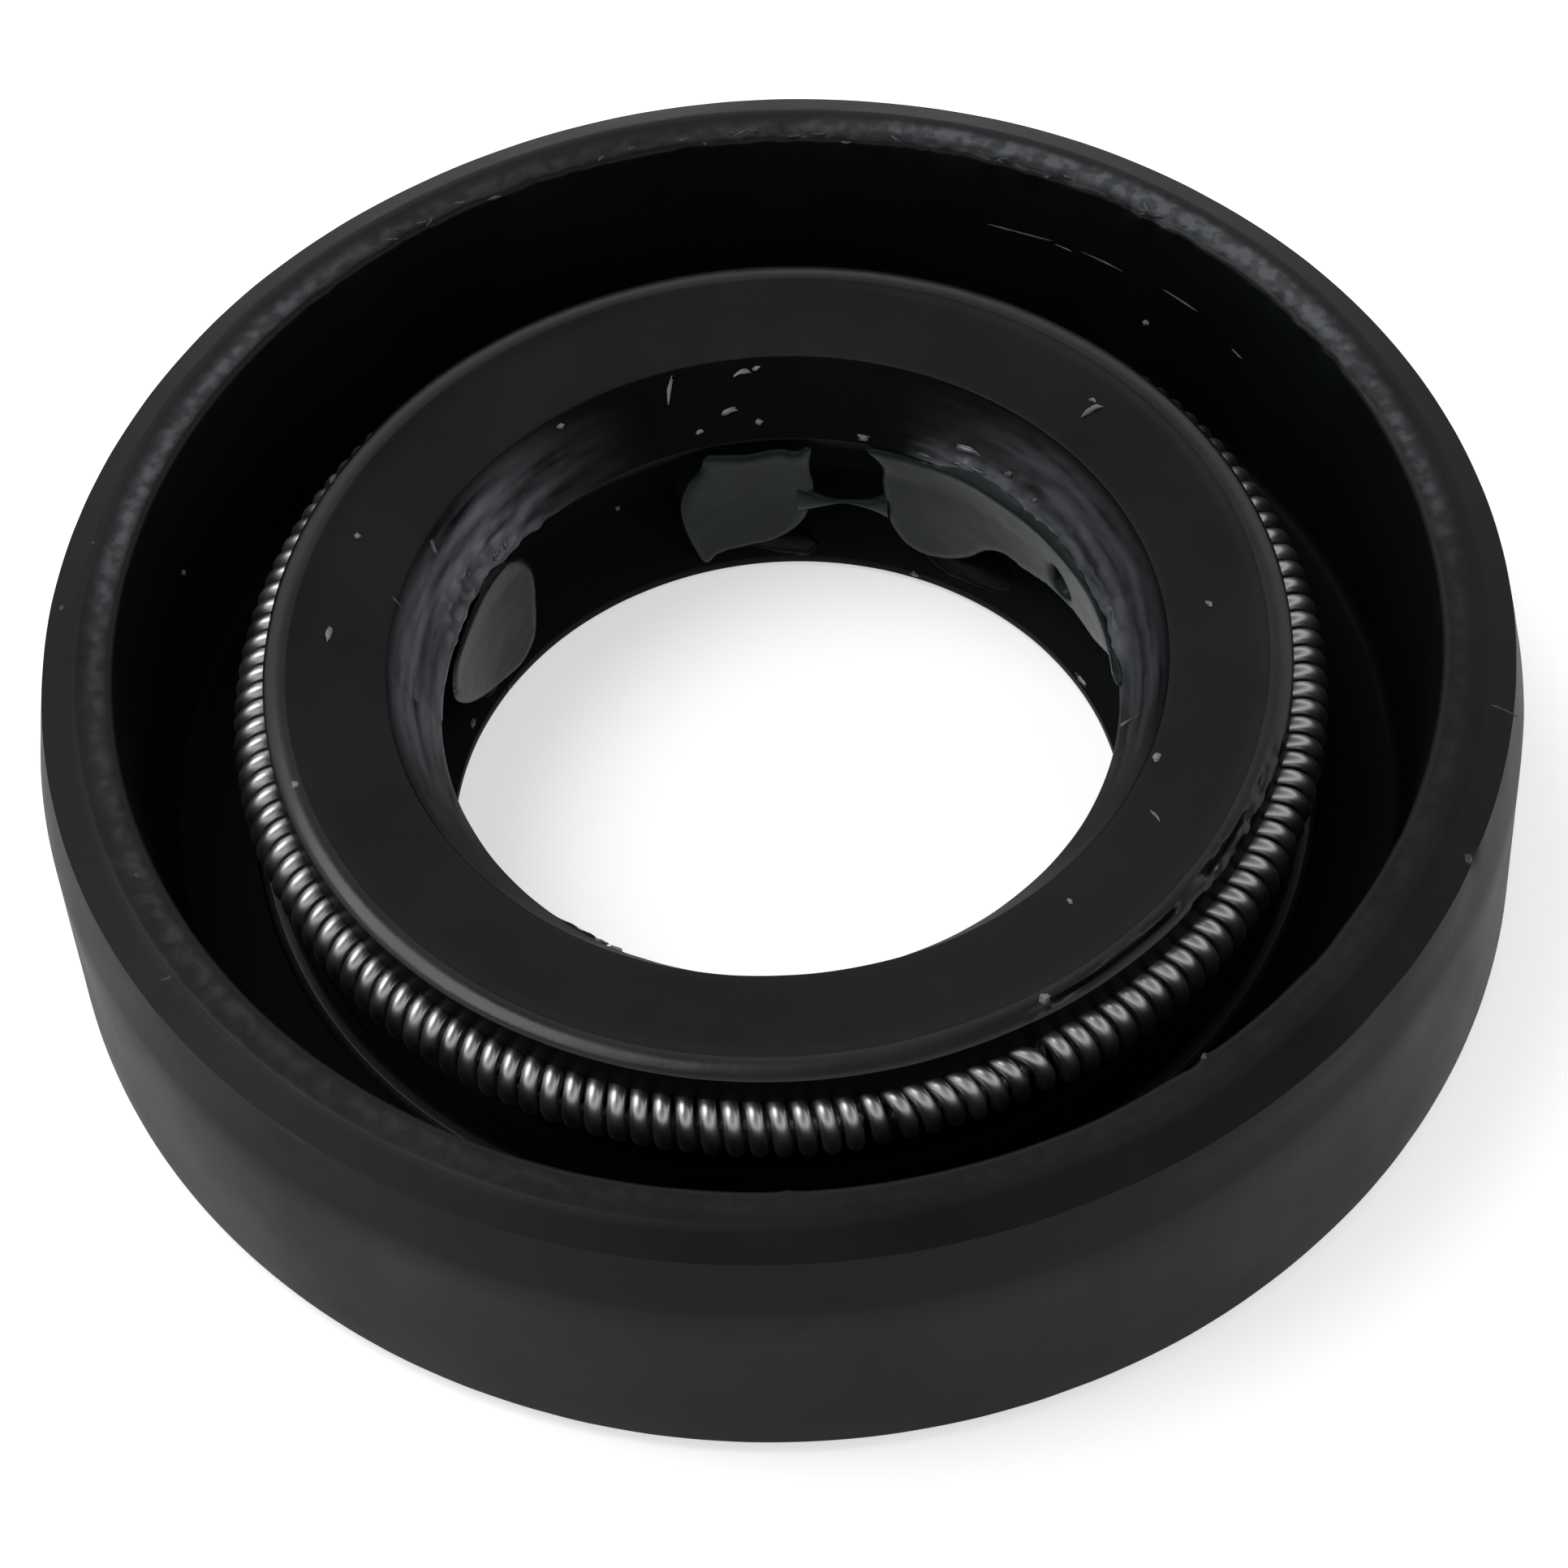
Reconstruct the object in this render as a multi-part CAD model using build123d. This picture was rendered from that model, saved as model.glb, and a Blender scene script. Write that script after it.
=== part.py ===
from build123d import *

import os
from math import cos, pi, radians, sin, sqrt

# A rubber-covered radial shaft seal of nominal size 17 x 35 x 8 (shaft, housing bore, width), lying on its
# back face with its spring side up. The shaft axis is Z, and the origin is the centre of the back face.
# It is the rubber moulding, the stamped steel case that the rubber is moulded round, the garter spring that
# presses the sealing lip onto the shaft, and three dabs of the grease that is packed between its two lips.
# All lengths are in millimetres.

# Nominal size
shaft_diameter = 17.0
housing_diameter = 35.0
seal_width = 8.0

# Outside of the covering: the chamfered back edge, the press-fit wall, the lead-in taper and the rim bevel
back_edge_depth = 0.3
back_edge_height = 0.5
back_edge_round = 0.15
lead_in_depth = 0.3
lead_in_height = 1.79
rim_bevel_depth = 0.75
rim_bevel_height = 0.35
rim_land_width = 0.95
rim_inner_round = 0.2

# Cavity between the rim and the lip, with a raised mould ring on its floor
floor_thickness = 2.1
cavity_draft = 0.66
cavity_corner_round = 0.35
cavity_corner_share = 0.8
floor_ring_offset = 1.39
floor_ring_width = 0.36
floor_ring_height = 0.07
floor_groove_depth = 0.1
outer_groove_width = 0.12
inner_groove_width = 0.3

# Garter spring, a closely wound ring whose two ends are screwed into each other
spring_turns = 148
spring_ring_radius = 12.2
spring_centre_height = 5.5
coil_diameter = 1.5
wire_diameter = 0.42
joint_angle = -74.0
joint_turns = 3
joint_pitch_stretch = 1.2
joint_end_lead = 0.75
joint_taper = 0.08

# Lip head and the groove that holds the spring
spring_clearance = 0.03
head_height = 7.2
head_wall_inset = 0.1
head_round = 0.18
head_face_dish = 0.25
head_mouth_round = 0.06
groove_foot_inset = 0.3
groove_foot_thickness = 0.33
groove_foot_slope = 0.35
groove_foot_round = 0.12

# Sealing lip and the flexible web that carries it
lip_interference = 0.45
lip_edge_height = 5.2
lip_front_depth = 1.15
lip_edge_round = 0.05
lip_back_depth = 0.9
lip_back_height = 1.35
lip_back_round = 0.3
web_inset = 0.7
web_thickness = 1.05
web_top_height = 3.35
web_top_round = 0.5
web_root_round = 0.5

# Dust lip and the grooves on either side of it
dust_lip_interference = 0.3
dust_lip_thickness = 0.33
dust_lip_back = 0.12
dust_lip_round = 0.06
pocket_height = 1.7
pocket_round = 0.35
back_groove_depth = 0.8
back_groove_width = 0.55
back_groove_round = 0.15

# Steel case
steel_thickness = 0.8
steel_wall_cover = 0.8
steel_back_cover = 0.5
steel_rim_cover = 0.9
steel_bend_round = 0.35
flange_reach = 0.45

# Grease between the two lips, in three dabs with plain faces that lie just behind the lips' edges. Each
# outline runs round its dab: an azimuth, and how far up it is from the dust lip (0) to the sealing edge (1).
# The space it is cut from reaches a little way into the rubber, which is then taken out of it.
grease_setback = 0.03
grease_root = 0.1
left_grease_outline = [
    (164.2, 0.58), (159.5, 0.32), (152.4, 0.15), (145.5, 0.05), (140.0, 0.04), (136.5, 0.16),
    (135.2, 0.43), (136.4, 0.73), (141.0, 0.91), (150.0, 0.97), (158.0, 0.93), (163.2, 0.81),
]
rear_grease_outline = [
    (104.9, 0.54), (103.8, 0.22), (101.4, 0.04), (96.5, 0.08), (89.0, 0.12), (84.2, 0.25),
    (81.8, 0.45), (82.0, 0.73), (83.5, 0.88), (90.0, 0.89), (98.0, 0.91), (102.5, 0.75),
]
right_grease_outline = [
    (68.9, 0.66), (68.2, 0.39), (65.5, 0.22), (60.5, 0.16), (54.5, 0.24), (49.0, 0.43), (42.0, 0.51),
    (34.0, 0.53), (18.0, 0.61), (6.0, 0.81), (1.0, 0.95), (10.0, 0.97), (35.0, 0.97), (55.0, 0.97),
    (68.0, 0.93),
]

# Values that follow from those above
outer_radius = housing_diameter / 2
taper_top_radius = outer_radius - lead_in_depth
taper_top_height = seal_width - rim_bevel_height
taper_foot_height = taper_top_height - lead_in_height
bevel_inner_radius = taper_top_radius - rim_bevel_depth
mouth_radius = bevel_inner_radius - rim_land_width
wire_radius = wire_diameter / 2
winding_radius = coil_diameter / 2 - wire_radius
groove_radius = coil_diameter / 2 + spring_clearance
head_wall_radius = spring_ring_radius - head_wall_inset
groove_foot_radius = spring_ring_radius - groove_foot_inset
groove_foot_height = (
    spring_centre_height - sqrt(groove_radius**2 - groove_foot_inset**2) - groove_foot_thickness
)
lip_edge_radius = shaft_diameter / 2 - lip_interference
head_mouth_radius = lip_edge_radius + lip_front_depth
web_outer_radius = groove_foot_radius - web_inset
web_inner_radius = web_outer_radius - web_thickness
flange_inner_radius = web_outer_radius - flange_reach
floor_ring_radius = web_outer_radius + floor_ring_offset
dust_lip_radius = shaft_diameter / 2 - dust_lip_interference
dust_lip_front = dust_lip_back + dust_lip_thickness


def section(corners):
    """A face in the XZ plane from its corners, each a radius, a height and how far it is rounded."""
    points = [(radius, height) for radius, height, _ in corners]
    rounds = [rounding for _, _, rounding in corners]
    return make_face(Plane.XZ * FilletPolyline(*points, radius=rounds, close=True))


def outside_corners():
    """The back face, the press-fit wall, the lead-in taper and the rim."""
    return [
        (outer_radius - back_edge_depth, 0, back_edge_round),
        (outer_radius, back_edge_height, back_edge_round),
        (outer_radius, taper_foot_height, 0),
        (taper_top_radius, taper_top_height, 0),
        (bevel_inner_radius, seal_width, 0),
        (mouth_radius, seal_width, rim_inner_round),
    ]


def cavity_corners():
    """The drafted wall and the floor of the cavity, in to the foot of the web."""
    floor = floor_thickness
    ring_top = floor + floor_ring_height
    groove = floor - floor_groove_depth
    ring_outer = floor_ring_radius + floor_ring_width / 2
    ring_inner = floor_ring_radius - floor_ring_width / 2
    floor_edge = mouth_radius - cavity_draft
    land_edge = ring_outer + outer_groove_width
    corner_round = min(cavity_corner_round, cavity_corner_share * (floor_edge - land_edge))
    return [
        (floor_edge, floor, corner_round),
        (land_edge, floor, 0),
        (ring_outer + outer_groove_width / 2, groove, 0),
        (ring_outer, ring_top, floor_ring_height),
        (ring_inner, ring_top, floor_ring_height),
        (ring_inner - inner_groove_width / 4, groove, 0),
        (ring_inner - inner_groove_width * 3 / 4, groove, 0),
        (ring_inner - inner_groove_width, floor, 0),
        (web_outer_radius, floor, web_root_round),
    ]


def lip_corners():
    """The web, the foot of the spring groove, the lip head and the sealing edge, back down to the pocket."""
    return [
        (web_outer_radius, groove_foot_height - groove_foot_slope, web_root_round),
        (groove_foot_radius, groove_foot_height, groove_foot_round),
        (groove_foot_radius, spring_centre_height, 0),
        (head_wall_radius, spring_centre_height, 0),
        (head_wall_radius, head_height, head_round),
        (head_mouth_radius, head_height - head_face_dish, head_mouth_round),
        (lip_edge_radius, lip_edge_height, lip_edge_round),
        (lip_edge_radius + lip_back_depth, lip_edge_height - lip_back_height, lip_back_round),
        (web_inner_radius, web_top_height, web_top_round),
        (web_inner_radius, pocket_height, pocket_round),
    ]


def dust_lip_corners():
    """The dust lip and the groove between it and the back face."""
    return [
        (dust_lip_radius, dust_lip_front, dust_lip_round),
        (dust_lip_radius, dust_lip_back, dust_lip_round),
        (flange_inner_radius - back_groove_width, back_groove_depth, back_groove_round),
        (flange_inner_radius, 0, back_groove_round),
    ]


def case_section():
    """The L of the stamped case: its leg stands in the rim and its flange lies in the back."""
    leg_outer = outer_radius - steel_wall_cover
    leg_inner = leg_outer - steel_thickness
    leg_top = seal_width - steel_rim_cover
    flange_front = steel_back_cover + steel_thickness
    return section(
        [
            (flange_inner_radius, steel_back_cover, 0),
            (leg_outer, steel_back_cover, steel_bend_round + steel_thickness),
            (leg_outer, leg_top, 0),
            (leg_inner, leg_top, 0),
            (leg_inner, flange_front, steel_bend_round),
            (flange_inner_radius, flange_front, 0),
        ]
    )


def covering_outline():
    return section(outside_corners() + cavity_corners() + lip_corners() + dust_lip_corners())


def rubber_body():
    """One moulding, with an open groove for the spring and a closed space that the case fills."""
    groove = Plane.XZ * Pos(spring_ring_radius, spring_centre_height) * Circle(groove_radius)
    return revolve(covering_outline() - groove - case_section(), Axis.Z)


def steel_case():
    return revolve(case_section(), Axis.Z)


def outer_slots():
    """Where the wire passes the outside of the ring, counted in turns.

    Past each end the wire runs at twice the pitch for joint_turns turns, so that one end lies between the
    turns of the other and every slot is filled once.
    """
    first_end = [2 * turn for turn in range(joint_turns + 1)]
    single = list(range(2 * joint_turns + 1, spring_turns))
    second_end = [spring_turns + 2 * turn + 1 for turn in range(joint_turns)]
    return first_end + single + second_end


def ring_point(slot, side):
    """A point of the wire's centre line outside (side 1) or inside (side -1) the ring's own centre line.

    The joint begins one and a half slots before slot 0 and ends as far past its last slot. The pitch is
    stretched over both of those lengths, which leaves room for the ends, and the joint's turns are tapered.
    """
    entry = 1.5
    joint_length = 2 * joint_turns - 1 + 2 * entry
    widening = (joint_pitch_stretch - 1) * entry
    slot_pitch = 2 * pi / (spring_turns + 2 * widening)
    laps, place = divmod(slot + entry, spring_turns)
    entered = max(0.0, min(place, entry))
    left = max(0.0, min(place, joint_length) - joint_length + entry)
    travel = place + (joint_pitch_stretch - 1) * (entered + left)
    joint_middle = joint_length / 2 + widening
    angle = radians(joint_angle) + 2 * pi * laps + slot_pitch * (travel - joint_middle)
    taper = joint_taper if 0 < place < joint_length else 0
    radius = spring_ring_radius + side * (winding_radius - taper)
    return Vector(radius * cos(angle), radius * sin(angle), spring_centre_height)


def spring_path():
    """The wire's centre line: an upright half circle over each turn, then one under it to the next."""
    outer = outer_slots()
    between = [(one + other) / 2 for one, other in zip(outer, outer[1:])]
    inner = [outer[0] - joint_end_lead] + between + [outer[-1] + joint_end_lead]
    inner_points = [ring_point(slot, -1) for slot in inner]
    outer_points = [ring_point(slot, 1) for slot in outer]
    arcs = []
    for start, top_end, bottom_end in zip(inner_points, outer_points, inner_points[1:]):
        arcs.append(half_circle(start, top_end, 1))
        arcs.append(half_circle(top_end, bottom_end, -1))
    return Wire(arcs)


def half_circle(start, end, side):
    """An upright half circle from start to end, over them where side is 1 and under them where it is -1."""
    crown = (start + end) / 2 + Vector(0, 0, side * (end - start).length / 2)
    return ThreePointArc(start, crown, end).edge()


def garter_spring():
    path = spring_path()
    wire_section = Plane(path @ 0, z_dir=path % 0) * Circle(wire_radius)
    return sweep(wire_section, path=path)


def grease_ring():
    """The space between the two lips, from the grease's free face back to the web."""
    root_radius = web_inner_radius + grease_root
    corners = [
        (lip_edge_radius + grease_setback, lip_edge_height),
        (dust_lip_radius + grease_setback, dust_lip_front - grease_root),
        (root_radius, pocket_height - grease_root),
        (root_radius, lip_edge_height),
    ]
    space = make_face(Plane.XZ * Polyline(*corners, close=True)) - covering_outline()
    return revolve(space, Axis.Z)


def grease_dab(outline):
    """The part of the grease ring inside an outline, which is seen from the shaft axis."""
    azimuths = [azimuth for azimuth, _ in outline]
    middle = (min(azimuths) + max(azimuths)) / 2
    across = (-sin(radians(middle)), cos(radians(middle)), 0)
    outward = (cos(radians(middle)), sin(radians(middle)), 0)
    gap = lip_edge_height - dust_lip_front
    points = [
        (lip_edge_radius * sin(radians(azimuth - middle)), dust_lip_front + share * gap)
        for azimuth, share in outline
    ]
    seen_from_axis = Plane(origin=(0, 0, 0), x_dir=across, z_dir=outward)
    face = make_face(seen_from_axis * Spline(*points, periodic=True))
    return (grease_ring() & extrude(face, amount=head_wall_radius)).solid()


os.makedirs("parts", exist_ok=True)
export_step(rubber_body(), "parts/rubber_body.step")
export_step(steel_case(), "parts/steel_case.step")
export_step(garter_spring(), "parts/garter_spring.step")
export_step(grease_dab(left_grease_outline), "parts/left_grease.step")
export_step(grease_dab(rear_grease_outline), "parts/rear_grease.step")
export_step(grease_dab(right_grease_outline), "parts/right_grease.step")
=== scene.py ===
import random
from math import atan2, ceil, cos, degrees, hypot, pi, radians, sin

import bmesh
import bpy
import numpy as np
from mathutils import Matrix, Vector, geometry, noise

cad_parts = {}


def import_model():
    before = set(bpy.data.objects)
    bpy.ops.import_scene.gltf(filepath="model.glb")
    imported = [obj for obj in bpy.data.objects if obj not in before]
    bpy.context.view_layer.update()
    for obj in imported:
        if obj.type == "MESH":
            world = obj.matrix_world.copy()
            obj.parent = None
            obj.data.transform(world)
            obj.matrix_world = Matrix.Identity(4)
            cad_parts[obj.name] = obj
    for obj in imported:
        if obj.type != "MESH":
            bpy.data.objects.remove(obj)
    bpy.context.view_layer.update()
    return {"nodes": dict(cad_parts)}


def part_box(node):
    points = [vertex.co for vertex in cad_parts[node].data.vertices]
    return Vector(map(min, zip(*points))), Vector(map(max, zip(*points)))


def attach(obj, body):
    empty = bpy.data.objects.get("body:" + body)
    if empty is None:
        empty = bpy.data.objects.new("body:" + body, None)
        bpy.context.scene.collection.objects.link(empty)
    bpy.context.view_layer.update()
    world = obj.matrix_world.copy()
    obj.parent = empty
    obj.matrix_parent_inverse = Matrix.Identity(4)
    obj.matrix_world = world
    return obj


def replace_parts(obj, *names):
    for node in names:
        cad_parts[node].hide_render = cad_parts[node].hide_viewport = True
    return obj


# A rubber-covered radial shaft seal on a pale floor: the covering with its wear, the garter spring, and the
# grease, lint and crumbs that lie on it. Lengths are in millimetres and turned into metres where a mesh is
# made, angles are in degrees, and a place on the seal is an azimuth, a radius and a height.

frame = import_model()

MM = 0.001
seal_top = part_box("rubber_body")[1]
outer_radius = seal_top.x / MM
seal_width = seal_top.z / MM


# ---------------------------------------------------------------- the covering's section

# The outside, from the back edge up over the wall, its lead-in taper and the bevel to the rim's flat land.
back_edge_width = 0.3
back_edge_height = 0.5
taper_height = 5.86
bevel_foot_radius = outer_radius - 0.3
bevel_foot_height = seal_width - 0.35
bevel_top_radius = outer_radius - 1.05
mouth_radius = outer_radius - 2

# The cavity, and the mould ring that stands in a shallow channel of its floor.
wall_foot_radius = 14.84
floor_height = 2.1
mould_ring_radius = 12.59
mould_ring_shoulder = 2.14
mould_ring_top = 2.21
channel_bed = 2.0
neck_radius = 11.2

# The garter spring's groove, and the foot of the head that holds it.
spring_ring_radius = 12.2
spring_height = 5.5
groove_radius = 0.78
groove_foot_angle = 247.4
groove_head_angle = 97.4
groove_foot_radius = 11.9
groove_foot_height = 4.45
neck_top_height = 4.1

# The lip head, the sealing lip, the web behind it and the dust lip.
head_radius = 12.1
head_height = 7.2
lip_mouth_radius = 9.2
lip_mouth_height = 6.95
lip_edge_radius = 8.05
lip_edge_height = 5.2
lip_back_radius = 8.95
lip_back_height = 3.85
web_radius = 10.15
web_top_height = 3.35
web_foot_height = 1.7
dust_lip_radius = 8.2
dust_lip_height = 0.45
dust_lip_foot = 0.12
back_hollow_radius = 10.2
back_hollow_height = 0.8
back_radius = 10.75

# Each corner is a radius, a height, its rounding, and the longest step along the line that follows it.
outside = [
    (outer_radius - back_edge_width, 0, 0.15, 0.3),
    (outer_radius, back_edge_height, 0.15, 0.9),
    (outer_radius, taper_height, 0, 0.3),
    (bevel_foot_radius, bevel_foot_height, 0, 0.17),
    (bevel_top_radius, seal_width, 0, 0.13),
    (mouth_radius, seal_width, 0.2, 0.7),
]
cavity = [
    (wall_foot_radius, floor_height, 0.35, 0.5),
    (mould_ring_radius + 0.3, floor_height, 0, 0.1),
    (mould_ring_radius + 0.24, channel_bed, 0, 0.1),
    (mould_ring_radius + 0.19, mould_ring_shoulder, 0.03, 0.1),
    (mould_ring_radius + 0.1, mould_ring_top, 0.03, 0.1),
    (mould_ring_radius - 0.1, mould_ring_top, 0.03, 0.1),
    (mould_ring_radius - 0.19, mould_ring_shoulder, 0.03, 0.1),
    (mould_ring_radius - 0.255, channel_bed, 0, 0.2),
    (mould_ring_radius - 0.405, channel_bed, 0, 0.2),
    (mould_ring_radius - 0.48, floor_height, 0, 0.5),
    (neck_radius, floor_height, 0.5, 0.6),
]
groove_foot = [
    (neck_radius, neck_top_height, 0.5, 0.3),
    (groove_foot_radius, groove_foot_height, 0.12, 0.2),
]
head = [
    (head_radius, head_height - 0.17, 0, 0.12),
    (head_radius - 0.06, head_height - 0.11, 0, 0.12),
    (head_radius - 0.2, head_height - 0.05, 0, 0.12),
    (head_radius - 0.34, head_height - 0.01, 0, 0.12),
    (head_radius - 0.55, head_height - 0.015, 0, 0.12),
    (head_radius - 0.85, head_height - 0.073, 0, 0.25),
    (lip_mouth_radius, lip_mouth_height, 0.06, 0.11),
    (lip_edge_radius, lip_edge_height, 0.05, 0.4),
    (lip_back_radius, lip_back_height, 0.3, 0.6),
    (web_radius, web_top_height, 0.5, 0.6),
    (web_radius, web_foot_height, 0.35, 0.5),
]
dust_lip = [
    (dust_lip_radius, dust_lip_height, 0.06, 0.3),
    (dust_lip_radius, dust_lip_foot, 0.06, 0.7),
    (back_hollow_radius, back_hollow_height, 0.15, 0.6),
    (back_radius, 0, 0.15, 3),
]

# How many steps an arc of the section is cut into.
groove_steps = 10
wide_round_steps = 4
small_round_steps = 3
small_rounding = 0.1


def arc_points(centre, radius, start, end, count):
    """Points on an arc from one angle to another, both ends included."""
    angles = [radians(start + (end - start) * step / count) for step in range(count + 1)]
    return [(centre[0] + radius * cos(a), centre[1] + radius * sin(a)) for a in angles]


def corner_arc(before, corner, after, rounding, count):
    """The arc that rounds a corner, or the bare corner where there is no rounding."""
    if rounding == 0:
        return [corner]
    into = Vector((corner[0] - before[0], corner[1] - before[1])).normalized()
    out = Vector((after[0] - corner[0], after[1] - corner[1])).normalized()
    turn = atan2(into.x * out.y - into.y * out.x, into.dot(out))
    reach = rounding * abs(sin(turn / 2) / cos(turn / 2))
    side = 1 if turn > 0 else -1
    start = Vector(corner) - into * reach
    centre = start + Vector((-into.y, into.x)) * side * rounding
    first = degrees(atan2(start.y - centre.y, start.x - centre.x))
    return arc_points(centre, rounding, first, first + degrees(turn), count)


def steps_between(start, end, longest):
    """The points between two others, no further apart than longest, ends left out."""
    count = ceil(hypot(end[0] - start[0], end[1] - start[1]) / longest)
    return [
        (start[0] + (end[0] - start[0]) * i / count, start[1] + (end[1] - start[1]) * i / count)
        for i in range(1, count)
    ]


def walk(corners, before, after):
    """The line through some corners in order, with their arcs."""
    points = []
    ring = [before] + list(corners) + [after]
    for back, here, ahead in zip(ring, ring[1:], ring[2:]):
        rounding = here[2]
        count = wide_round_steps if rounding > small_rounding else small_round_steps
        arc = corner_arc(back[:2], here[:2], ahead[:2], rounding, count)
        if points:
            points += steps_between(points[-1], arc[0], back[3])
        points += arc
    return points


def covering_section():
    """The closed section from the back edge up, over the rim, through the cavity and back under the lip."""
    middle = (spring_ring_radius, spring_height)
    groove = arc_points(middle, groove_radius, groove_foot_angle, groove_head_angle, groove_steps)
    first = walk(outside + cavity + groove_foot, dust_lip[-1], groove[0])
    second = walk(head + dust_lip, groove[-1], outside[0])
    up_to_groove = steps_between(first[-1], groove[0], longest=0.2)
    over_groove = steps_between(groove[-1], second[0], longest=0.25)
    under = steps_between(second[-1], first[0], longest=2.2)
    return first + up_to_groove + groove + over_groove + second + under


# ---------------------------------------------------------------- wear of the covering

# How far each kind of wear moves the surface at most.
slow_wave = 0.016
fine_wave = 0.006
flash_height = 0.16
slit_depth = 0.14
flap_rise = 0.025
chip_depth = 0.3
smear_height = 0.04
bubble_height = 0.14

# A dent, or a bump where its depth is negative: azimuth, radius, height, half length round the ring,
# half width across, and depth.
dents = [
    (-55.7, 15.52, 8.0, 0.22, 0.14, -0.06),
    (-57.2, 15.5, 7.95, 0.25, 0.2, 0.05),
    (-92.2, 15.5, 7.95, 0.12, 0.12, -0.05),
    (-89.0, 17.45, 6.18, 0.12, 0.13, -0.08),
    (-88.6, 17.48, 5.98, 0.14, 0.12, 0.05),
    (-61.9, 17.5, 1.95, 0.10, 0.10, -0.05),
    (-107.2, 16.4, 8.0, 0.55, 0.10, -0.02),
    (-99.0, 16.0, 8.0, 0.9, 0.12, 0.02),
    (-146.9, 16.85, 7.82, 0.07, 0.42, -0.05),
    (-145.9, 16.95, 7.77, 0.06, 0.30, 0.04),
    (-13.1, 16.9, 7.79, 0.05, 0.36, -0.05),
    (-26.8, 17.2, 7.65, 0.22, 0.22, 0.09),
    (-27.9, 17.1, 7.72, 0.15, 0.12, -0.05),
    (-131.5, 17.25, 7.4, 0.5, 0.15, 0.03),
    (-118.0, 16.5, 7.98, 0.8, 0.07, 0.03),
    (-73.0, 16.5, 7.98, 1.1, 0.08, 0.03),
    (-129.5, lip_edge_radius, lip_edge_height, 0.30, 0.16, -0.06),
    (-126.0, lip_edge_radius, lip_edge_height, 0.20, 0.14, -0.07),
    (-122.6, lip_edge_radius, lip_edge_height, 0.16, 0.2, 0.05),
    (-119.3, lip_edge_radius, lip_edge_height, 0.25, 0.2, 0.03),
]


def unevenness(place):
    """How far a moulded rubber surface is off its true form: slow waves, and finer ones on top of them."""
    fine_place = place * 1.1 + Vector((40, 0, 0))
    return slow_wave * noise.noise(place * 0.22) + fine_wave * noise.noise(fine_place)


def band(value, low, high, soft):
    """1 between low and high, fading to 0 over soft on either side."""
    return np.clip((value - low) / soft + 1, 0, 1) * np.clip((high - value) / soft + 1, 0, 1)


def rim_flash(angle, radius, height, rough):
    """Torn moulding flash on the inner edge of the rim, round the back of the ring."""
    round_back = band(angle, 28, 128, soft=12) * (0.45 + 0.55 * np.sin(np.radians(angle * 9)) ** 2)
    on_edge = band(radius, 15.45, 15.85, soft=0.15) * (height > seal_width - 0.4)
    return flash_height * on_edge * round_back * (rough - 0.12)


def torn_head(angle, radius, height, rough):
    """The slit and the chipped edge on the front right of the lip head."""
    top = height > head_height - 0.3
    half_width = 0.05
    slit_radius = np.interp(angle, [-66, -60, -52, -43], [11.96, 11.91, 11.88, 11.91])
    slit = np.interp(angle, [-66, -61, -45, -42.5], [0, 1, 1, 0])
    second_radius = np.interp(angle, [-40, -34, -27], [11.86, 11.9, 11.93])
    second = np.interp(angle, [-40.5, -38.5, -30, -27], [0, 1, 1, 0])
    cuts = slit * np.exp(-(((radius - slit_radius) / half_width) ** 2))
    cuts += second * np.exp(-(((radius - second_radius) / half_width) ** 2))
    flap = slit * (radius > slit_radius + half_width) + second * (radius > second_radius + half_width)
    at_edge = band(angle, -40, -20, soft=3) * band(radius, 11.9, 12.2, soft=0.1)
    chips = at_edge * np.maximum(rough - 0.12, 0)
    return top * (flap_rise * flap - slit_depth * cuts - chip_depth * chips)


def share_up_cone(height):
    """How far up the cone of the lip a height lies: 0 at the sealing edge, 1 at the mouth."""
    return (height - lip_edge_height) / (lip_mouth_height - lip_edge_height)


def grease_smear_and_painted_sheen(angle, radius, height):
    """How thickly grease is smeared over the cone of the lip, from 0 to 1, in streaks round the ring. The
    same share raises the grease film and lightens the cone toward pale grey, which is partly the grease and
    partly a painted sheen at the left and the right.
    """
    share = share_up_cone(height)
    on_the_cone = (share > -0.02) & (share < 1.02) & (radius < lip_mouth_radius + 0.08)
    turn = angle % 360
    left = band(turn, 142, 182, soft=34) ** 2 * band(share, 0.02, 0.7, soft=0.32)
    right = 0.45 * band(angle, -6, 40, soft=32) ** 2 * band(share, 0.02, 0.66, soft=0.34)
    drawn_out = 0.75 * band(angle, 3, 58, soft=7) * band(share, -0.02, 0.2, soft=0.12)
    thickest = np.maximum(np.maximum(left, right), drawn_out)
    streaks = np.zeros(angle.shape)
    for place in zip(*np.nonzero(on_the_cone)):
        spot = Vector((angle[place] * 0.05, share[place] * 7, 3))
        streaks[place] = noise.fractal(spot, 0.7, 2.2, 4)
    return on_the_cone * thickest * np.clip(0.66 + 0.7 * streaks, 0, 1)


def bubbles(angle, radius, height, rough):
    """The lumps and pits of the grease that is drawn over the sealing edge."""
    near_edge = band(share_up_cone(height), 0.03, 0.3, soft=0.12) * (radius < lip_mouth_radius)
    left = band(angle, 132, 160, soft=6)
    right = band(angle, 4, 56, soft=5)
    return bubble_height * near_edge * np.maximum(left, right) * rough


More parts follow.
